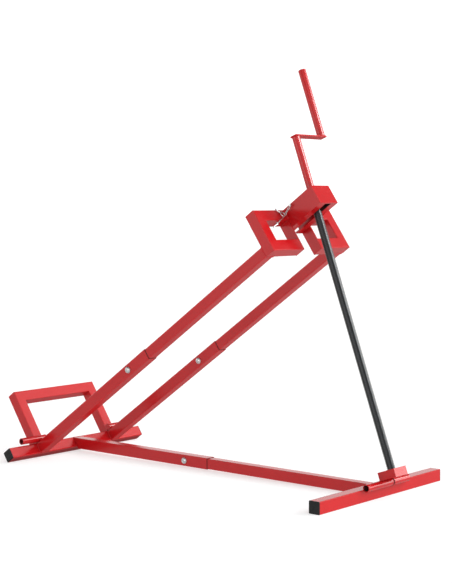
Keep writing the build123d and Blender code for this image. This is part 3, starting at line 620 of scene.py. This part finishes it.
# ------------------------------------------------------------------------------------------------
# Foot hinge: a long round sleeve with the screw's block welded on it swings on a pin held by a short sleeve on the
# front bar. Round tube and a drilled block, sprayed red; the pin is blackened bar, the thrust washer is zinc plated.
SCREW_UP = np.array([-0.330538787, 0.0, 0.943792408])
SCREW_FRONT = np.array([SCREW_UP[2], 0.0, -SCREW_UP[0]])
SCREW_LEAN = math.atan2(SCREW_FRONT[2], SCREW_FRONT[0])
NUT_MIDDLE = on_arms(1104.4, 0, 91.0)
PIN_MIDDLE = on_base(1074.0, 0, 24.3)
KNUCKLE_SPLIT = 21.7
SLEEVE_SHADE = 0.85
BLOCK_BACK, BLOCK_FOOT, BLOCK_LEG = -24.8, -702.2, 2.2


def on_screw(front, side, up):
    """Point in front of the screw's axis, across and up along it from the nut's trunnion."""
    return along_ways(NUT_MIDDLE, (front, SCREW_FRONT), (side, SIDE), (up, SCREW_UP))


dress(red_powder("foot_red_powder", SCREW_LEAN), "foot_block", "foot_gusset")
# The sleeves' bores are darkened as painted shade
sleeve_red = red_powder("sleeve_red_powder", 0.0, dull=0.08, **ROUND_COAT,
                        dark=lambda tree: bore_shade(tree, PIN_MIDDLE, SLEEVE_SHADE))
dress(sleeve_red, "foot_sleeve", "fixed_sleeve")
dress(bright_zinc, "thrust_washer", "hinge_pin", "screw_retainer")
blackened = finish(
    "blackened_pin", clouded((0.010, 0.010, 0.010), (0.032, 0.030, 0.028), 150.0, 4.0),
    uneven(0.35, 0.55, 400.0, 3.0), height=bumps(900.0, 3.0), strength=0.15, depth=0.0002, Specular_IOR_Level=0.2,
)
dress(blackened, "foot_pin")

# A thin dark red-brown ring over the split between the sleeves: painted shade of the gap between them;
# its rows are (along the sleeve, radius)
gap_shade_rows = [(-2.7, 8.8), (-2.7, 9.04), (-2.3, 9.22), (-1.0, 9.36), (0, 9.4),
               (1.0, 9.36), (2.3, 9.22), (2.7, 9.04), (2.7, 8.8), (-2.7, 8.8)]
gap_shade_dark = finish(
    "painted_gap_shade", clouded((0.050, 0.003, 0.004), (0.105, 0.005, 0.007), 400.0, 4.0),
    uneven(0.60, 0.80, 700.0, 3.0), height=bumps(900.0, 4.0), strength=0.4, depth=0.0003, Specular_IOR_Level=0.06,
)
ring = turned(gap_shade_rows, PIN_MIDDLE + KNUCKLE_SPLIT * MM * SIDE, SIDE, BASE_RISE)
lay("gap_shade_ring", [ring], gap_shade_dark, "base", "red_coat", sharp=60)
block_beads = [bead(straight(*(on_screw(BLOCK_BACK, y, BLOCK_FOOT) for y in ends)), SCREW_UP, BLOCK_LEG)
               for ends in ((-23, -4), (4, 19))]
lay("foot_block_welds", block_beads, weld_red, "swing_foot", "red_coat")

# ------------------------------------------------------------------------------------------------
# Screw: a 20 mm steel bar with a rolled trapezoidal thread of 4 mm pitch, blackened and oiled. Its lower end is turned
# down to run in the foot block, its upper end is turned down and pinned inside the crank tube.
THREAD_LOW, THREAD_HIGH, THREAD_PITCH = -689.7, 13.6, 4.0
THREAD_CREST, THREAD_DEPTH, SUNK = 10.15, 1.6, 8.0
RUN_IN, RUN_OUT = 5.0, 3.0
RUB_START, RUB_FULL = 9.4 * MM, 9.9 * MM


def lead_thread(columns=40):
    """Sheet of the thread: four corners of the trapezoid (crest, crest, root, root) run up the bar as helices, one
    pitch in every turn, right-handed. At both ends the thread sinks below its root; rows beyond are held there."""
    turns = np.arange(-1, int((THREAD_HIGH - THREAD_LOW) / THREAD_PITCH) + 2)
    start = (turns[:, None] + np.array([0.0, 0.46, 0.56, 0.90])[None, :]).reshape(-1)
    crest = THREAD_CREST - np.tile([0.0, 0.0, THREAD_DEPTH, THREAD_DEPTH], len(turns))
    angle = np.linspace(0, 2 * np.pi, columns + 1)
    up = THREAD_LOW + THREAD_PITCH * (start[:, None] + angle[None, :] / (2 * np.pi))
    fade = np.clip((up - THREAD_LOW) / RUN_IN, 0, 1) * np.clip((THREAD_HIGH - up) / RUN_OUT, 0, 1)
    radius = SUNK + (crest[:, None] - SUNK) * fade
    points = on_screw(radius * np.cos(angle), radius * np.sin(angle), np.clip(up, THREAD_LOW, THREAD_HIGH))
    return points.reshape(-1, 3), grid_faces(len(start), columns + 1, around=False)


def from_axis(tree):
    """Distance of a point from the screw's axis in metres."""
    out = vector_maths(tree, "SUBTRACT", object_place(tree), tuple(NUT_MIDDLE))
    along = vector_maths(tree, "PROJECT", out, tuple(SCREW_UP))
    return vector_maths(tree, "LENGTH", vector_maths(tree, "SUBTRACT", out, along))


def thread_colour(tree):
    """Black oxide, nearly black with oil in the roots, rubbed a little greyer along the crests."""
    black = tint(tree, grain(tree, 90.0, 4.0), (0.010, 0.011, 0.012), (0.022, 0.023, 0.024))
    patchy = ease(tree, grain(tree, 60.0, 4.0), 0.35, 0.70, 0.50, 0.70)
    rubbed = maths(tree, "MULTIPLY", ease(tree, from_axis(tree), RUB_START, RUB_FULL), patchy)
    return tint(tree, rubbed, black, (0.055, 0.057, 0.06))


black_oxide = finish(
    "oiled_black_steel", thread_colour, uneven(0.15, 0.22, 220.0, 3.0),
    lambda tree: ease(tree, from_axis(tree), RUB_START, RUB_FULL, 0.15, 0.35),
    bumps(1300.0, 3.0), strength=0.03, depth=0.00015, Specular_IOR_Level=0.34,
)
journal_rows = [(-702.4, 0), (-702.4, 5.0), (-701.4, 6.0), (-689.2, 6.0), (-689.2, 0)]
stub_rows = [(13.0, 0), (13.0, 7.35), (56.4, 7.35), (57.6, 6.2), (57.6, 0)]
turned_ends = [turned(rows, NUT_MIDDLE, SCREW_UP, SCREW_FRONT) for rows in (journal_rows, stub_rows)]
lay("lead_screw", [lead_thread(), *turned_ends], black_oxide, "crank_screw", "dark_steel", "screw", sharp=20)

# ------------------------------------------------------------------------------------------------
# Nut: a steel block inside the head, drilled and tapped for the screw, with two trunnion pins that turn in the head's
# bearing plates. Milled from bar, left bare and lightly oiled.
CUTTER_MARKS = 260.0


def milled(tree):
    """Fine parallel cutter marks across the block, as a height."""
    lean = node(tree, "Mapping", {}, Vector=object_place(tree), Rotation=(0.0, SCREW_LEAN, 0.0)).outputs[0]
    bands = {"bands_direction": "Z"}
    return node(tree, "TexWave", bands, Vector=lean, Scale=CUTTER_MARKS, Distortion=1.5, Detail=3.0).outputs["Fac"]


machined_steel = finish(
    "machined_steel", clouded((0.42, 0.41, 0.39), (0.58, 0.57, 0.55), 80.0, 4.0),
    lambda tree: ease(tree, milled(tree), 0.0, 1.0, 0.26, 0.40),
    height=milled, strength=0.12, depth=0.0001, Metallic=1.0,
)
dress(machined_steel, "trunnion_nut")

# ------------------------------------------------------------------------------------------------
# Crank: a tube pinned on the screw, a flat cross plate welded on top and an upright handle of the same tube,
# closed at its end. All sprayed red; the rings of weld at the plate show under the coat.
CRANK_TOP, PLATE, THROW = 155.3, 3.0, 105.0
HANDLE_FOOT = CRANK_TOP + PLATE
HANDLE_END = HANDLE_FOOT + 182.2
HANDLE_ROUND, HOOP_ROUND, HOOP_LEG = 10.0, 9.9, 1.7
plate_red = red_powder("plate_red_powder", SCREW_LEAN, dull=0.24, shine=0.22)
round_red = red_powder("round_tube_red_powder", 0.0, dull=0.14, **ROUND_COAT)
dress(plate_red, "crank_plate")
dress(round_red, "crank_tube", "crank_pin")
# Down from the handle's end and radius of its rounded rim
handle_rim = [(1.6, HANDLE_ROUND), (1.0, 9.88), (0.5, 9.55), (0.15, 9.0), (0.0, 8.2), (0.1, 4.0), (0.1, 0)]
handle_rows = [(HANDLE_FOOT, 0), (HANDLE_FOOT, HANDLE_ROUND), *((HANDLE_END - down, r) for down, r in handle_rim)]
handle = turned(handle_rows, on_screw(0, THROW, 0), SCREW_UP, SCREW_FRONT, 64)
lay("handle", [handle], round_red, "crank_screw", "red_coat", "crank_handle", sharp=45)


def hoop(middle, radius, step=0.7 * MM):
    """Closed circle round the screw's direction about a middle point."""
    angle = np.linspace(0, 2 * np.pi, int(2 * np.pi * radius * MM / step), endpoint=False)[:, None]
    return middle + radius * MM * (np.cos(angle) * SCREW_FRONT + np.sin(angle) * SIDE)


crank_beads = [bead(hoop(middle, HOOP_ROUND), SCREW_UP, HOOP_LEG, closed=True)
               for middle in (on_screw(0, 0, CRANK_TOP), on_screw(0, THROW, HANDLE_FOOT))]
lay("crank_welds", crank_beads, weld_red, "crank_screw", "red_coat")

# ------------------------------------------------------------------------------------------------
# Keeper: a short chain of welded oval wire links on a rivet in the head's right wall, with a bent wire clip in the last
# link. Zinc plated wire; the clip has a small eyelet wound on its long leg and a short bail across its bend.
CLIP_RUN, BAIL_RUN = 1037.5, 1039.8
RIVET = on_arms(1061.0, -39.3, 95.5)
CHAIN_LOW = on_arms(CLIP_RUN, -46.3, 82.8)
LINK_WIRE, LINK_ROUND, LINKS = 0.6, 2.1, 4
CLIP_WIRE, EYELET_WIRE, BAIL_WIRE = 1.5, 1.1, 1.0
CLIP_BEND, EYELET_ROUND, BAIL_BEND = 4.0, 3.0, 3.0
dress(bright_zinc, "chain_rivet")


def wire(path, radius, closed=False, columns=14):
    """Sheet of a round wire: a circle carried along a path that lies in a plane, and kept square to the path. The
    plane's normal is the direction in which the path's points spread least."""
    flat = np.linalg.svd(path - path.mean(0))[2][2]
    out = unit(np.cross(headings(path, closed), flat))
    return carried(path, out, flat, np.broadcast_to(radius, len(path))[:, None] * MM, columns, closed)


# One link is an oval: a circle whose two halves are moved apart; its wire swells where it is butt welded
chain_run = unit(CHAIN_LOW - RIVET)
chain_across = unit(np.cross(chain_run, SIDE))
first_link = RIVET + chain_run * 2.6 * MM
last_link = CHAIN_LOW - chain_run * 2.2 * MM
link_half = np.linalg.norm(last_link - first_link) / MM / (LINKS - 1) / 2 + LINK_WIRE
turn = np.linspace(0, 2 * np.pi, 72, endpoint=False)
apart = (link_half - LINK_ROUND) * np.clip(4 * np.cos(turn), -1, 1)
oval = np.stack([LINK_ROUND * np.cos(turn) + apart, LINK_ROUND * np.sin(turn)], -1)
butt = LINK_WIRE * (1 + 0.2 * np.exp(-((turn - np.pi / 2) / 0.25) ** 2))
chain = []
for k in range(LINKS):
    middle = first_link + (last_link - first_link) * k / (LINKS - 1)
    flat = chain_across if k % 2 else np.cross(chain_run, chain_across)
    chain.append(wire(middle + (oval[:, :1] * chain_run + oval[:, 1:] * flat) * MM, butt, closed=True))
lay("chain_links", chain, bright_zinc, "lift_frame", "zinc_steel", "keeper_chain", sharp=60)


def rounded_run(corners, radius, steps=12):
    """Path through corners with each one rounded by an arc of a radius, tangent to the runs on both sides."""
    back, on = unit(corners[:-2] - corners[1:-1]), unit(corners[2:] - corners[1:-1])
    half = np.arccos(np.sum(back * on, 1)) / 2
    inward = unit(back + on)
    centre = corners[1:-1] + inward * (radius / np.sin(half))[:, None]
    swing = np.linspace(-1, 1, steps)[None, :, None] * (np.pi / 2 - half)[:, None, None]
    square = unit(on - inward * np.sum(on * inward, 1)[:, None])
    arcs = centre[:, None] + radius * (-inward[:, None] * np.cos(swing) + square[:, None] * np.sin(swing))
    return np.vstack([corners[:1], arcs.reshape(-1, 2), corners[-1:]])


# Across and up, in the plane square to the arms: the clip's corners, and the bail's
clip_corners = np.array([(-116.0, 47.0), (-44.5, 81.1), (-50.5, 90.5), (-62.0, 88.0), (-73.0, 101.0)])
bail_corners = np.array([(-56.5, 90.3), (-62.3, 88.6), (-64.2, 84.2), (-62.6, 79.0), (-58.6, 75.6), (-53.0, 76.9)])
EYELET_MIDDLE = np.array([-94.7, 57.2])
# The clip's two tips are rounded: from the end, so far in and so thick
TIP_RUN, TIP_WIRE = np.array([0.0, 0.35, 1.1])[:, None], [0.05, 1.05, CLIP_WIRE]
bend = rounded_run(clip_corners, CLIP_BEND)
thick = np.concatenate([TIP_WIRE, np.full(len(bend) - 2, CLIP_WIRE), TIP_WIRE[::-1]])
lead, tail = unit(bend[1] - bend[0]), unit(bend[-1] - bend[-2])
bend = np.vstack([bend[0] + TIP_RUN * lead, bend[1:-1], bend[-1] - TIP_RUN[::-1] * tail])
coil = np.linspace(0, 2 * np.pi, 40, endpoint=False)
eyelet = EYELET_MIDDLE + EYELET_ROUND * np.stack([np.cos(coil), np.sin(coil)], -1)
bail = rounded_run(bail_corners, BAIL_BEND)
clip_sheets = [
    wire(on_arms(CLIP_RUN, bend[:, 0], bend[:, 1]), thick),
    wire(on_arms(CLIP_RUN, eyelet[:, 0], eyelet[:, 1]), EYELET_WIRE, closed=True),
    wire(on_arms(BAIL_RUN, bail[:, 0], bail[:, 1]), BAIL_WIRE),
]
lay("wire_clip", clip_sheets, bright_zinc, "lift_frame", "zinc_steel", "safety_clip", sharp=60)

# ------------------------------------------------------------------------------------------------
# Studio: a wide sheet of white paper under the jack, a bright horizon with a dimmer ceiling and soft panels round it,
# and soft lamps in front. The camera stands where the photograph was taken from.
FLOOR_HALF = 60.0
SHADE_BACK, SHADE_FRONT, SHADE_HALF = -0.54, -0.45, 0.28
paper_rough = uneven(0.85, 0.95, 200.0)


def lay_paper(name, back, front, half, material):
    """A rectangle of paper lying on the floor, so far back and in front and to both sides, in metres."""
    mesh = bpy.data.meshes.new(name)
    mesh.from_pydata([(back, -half, 0), (front, -half, 0), (front, half, 0), (back, half, 0)], [], [(0, 1, 2, 3)])
    mesh.materials.append(material)
    laid = bpy.data.objects.new(name, mesh)
    bpy.context.scene.collection.objects.link(laid)
    return laid


floor = lay_paper("paper_floor", -FLOOR_HALF, FLOOR_HALF, FLOOR_HALF, finish(
    "white_paper", clouded((0.44, 0.44, 0.44), (0.46, 0.46, 0.46), 3.0), paper_rough,
    Specular_IOR_Level=0.0, Emission_Color=(1, 1, 1, 1), Emission_Strength=0.62,
))
floor.visible_glossy = False

# A darker sheet of paper close under the rear bar, seen in reflections only: the bar's lower face mirrors it as painted
# shade
shade = lay_paper("paper_under_bar", SHADE_BACK, SHADE_FRONT, SHADE_HALF, finish(
    "shaded_paper", clouded((0.18, 0.18, 0.18), (0.20, 0.20, 0.20), 3.0), paper_rough, Specular_IOR_Level=0.0,
))
shade.visible_camera = shade.visible_diffuse = shade.visible_transmission = shade.visible_shadow = False

world = bpy.data.worlds.new("studio")
world.use_nodes = True
sky = world.node_tree
direction = node(sky, "TexCoord", {}).outputs["Generated"]
height = parts_of(sky, direction)[2]
level = vector_maths(sky, "NORMALIZE", vector_maths(sky, "MULTIPLY", direction, (1, 1, 0)))


def panel(bearing, full, gone, strength, bottom, top):
    """Light of one panel of the room: full up to one angle to the sides of its bearing and gone at another, and
    fading in and out over two ranges of height, the sine of the angle above the floor."""
    way = (math.cos(math.radians(bearing)), math.sin(math.radians(bearing)), 0)
    towards = vector_maths(sky, "DOT_PRODUCT", level, way)
    wide = ease(sky, towards, math.cos(math.radians(gone)), math.cos(math.radians(full)))
    tall = maths(sky, "MULTIPLY", ease(sky, height, *top, strength, 0.0), ease(sky, height, *bottom))
    return maths(sky, "MULTIPLY", wide, tall)


above_floor = ease(sky, height, -0.12, 0.0, 0.62, 1.0)
glow = maths(sky, "MULTIPLY", ease(sky, height, 0.16, 0.60, 1.03, 0.26), above_floor)
for seen in (
    panel(131, 10, 45, 0.3, (-0.20, -0.02), (0.05, 0.30)),      # behind, low: the tops of the base mirror it
    panel(50, 5, 18, 3.2, (0.30, 0.45), (0.12, 0.80)),          # front left, tall: faces square to the screw
    panel(62, 4, 9, 2.4, (0.40, 0.46), (0.54, 0.61)),           # beside it: the far end of the rear bar
    panel(55, 3, 9, 0.95, (0.60, 0.63), (0.66, 0.72)),          # above it: the front face of the rear bar
    panel(-94, 8, 38, 1.25, (-0.10, 0.0), (0.16, 0.34)),        # right, low: right sides of handle and crank tube
    panel(-45, 15, 40, 1.2, (0.42, 0.52), (0.62, 0.75)),        # behind the camera: their near sides
    panel(140, 22, 37, -0.35, (-1.2, -1.1), (-0.45, -0.25)),    # less light from below: undersides of the arms
):
    glow = maths(sky, "ADD", glow, seen)
sky.links.new(glow, sky.nodes["Background"].inputs["Strength"])
sky.nodes["Background"].inputs["Color"].default_value = (1, 1, 1, 1)
bpy.context.scene.world = world
bpy.context.scene.view_settings.view_transform = "Standard"

# Two lamps light the coat, and four make the bright streaks on round and zinc plated pieces. The flat tubes and plates
# don't mirror these four: seen from behind, their tops would turn white.
flat_coats = (bar_red, arm_red, base_red, head_red, plate_red)
flat_reds = bpy.data.collections.new("flat_tubes_and_plates")
for piece in bpy.context.scene.objects:
    if piece.type == "MESH" and piece.data.materials and piece.data.materials[0] in flat_coats:
        flat_reds.objects.link(piece)
for member in flat_reds.collection_objects:
    member.light_linking.link_state = "EXCLUDE"
# Name, way of the light, power, width in degrees, and whether it makes mirror images only or lights the coat only
for name, way, power, width, mirrored in (
    ("front_lamp", (-0.8165, -0.3134, -0.4848), 1.7, 20, True),
    ("softbox_lamp", (-0.6812, -0.5716, -0.4575), 1.13, 23.7, True),
    ("low_lamp", (-0.3575, -0.8031, -0.4767), 0.183, 10.3, True),
    ("strip_lamp", (-0.6326, -0.7538, -0.1777), 0.497, 25.8, True),
    ("box_lamp", (-0.6466, -0.6555, -0.3901), 1.797, 45, False),
    ("wide_lamp", (-0.680, -0.330, -0.655), 1.75, 70, False),
):
    lamp = bpy.data.lights.new(name, "SUN")
    lamp.energy = power
    lamp.angle = math.radians(width)
    holder = bpy.data.objects.new(name, lamp)
    holder.rotation_euler = Vector(way).to_track_quat("-Z", "Y").to_euler()
    holder.visible_glossy = mirrored
    holder.visible_diffuse = not mirrored
    if mirrored:
        holder.light_linking.receiver_collection = flat_reds
    bpy.context.scene.collection.objects.link(holder)

# The camera's place and turn were fitted to the edges of the tubes in the photograph
view = bpy.data.cameras.new("photo_camera")
view.sensor_fit = "VERTICAL"
view.sensor_height = 36.0
view.lens = 84.10
camera = bpy.data.objects.new("photo_camera", view)
camera.matrix_world = Matrix((
    (0.75458892, -0.02829503, 0.65558748, 2.38699),
    (0.65610221, 0.04958569, -0.75304127, -2.65300),
    (-0.01120043, 0.998369, 0.05598125, 0.67004),
    (0, 0, 0, 1),
))
bpy.context.scene.collection.objects.link(camera)
bpy.context.scene.camera = camera
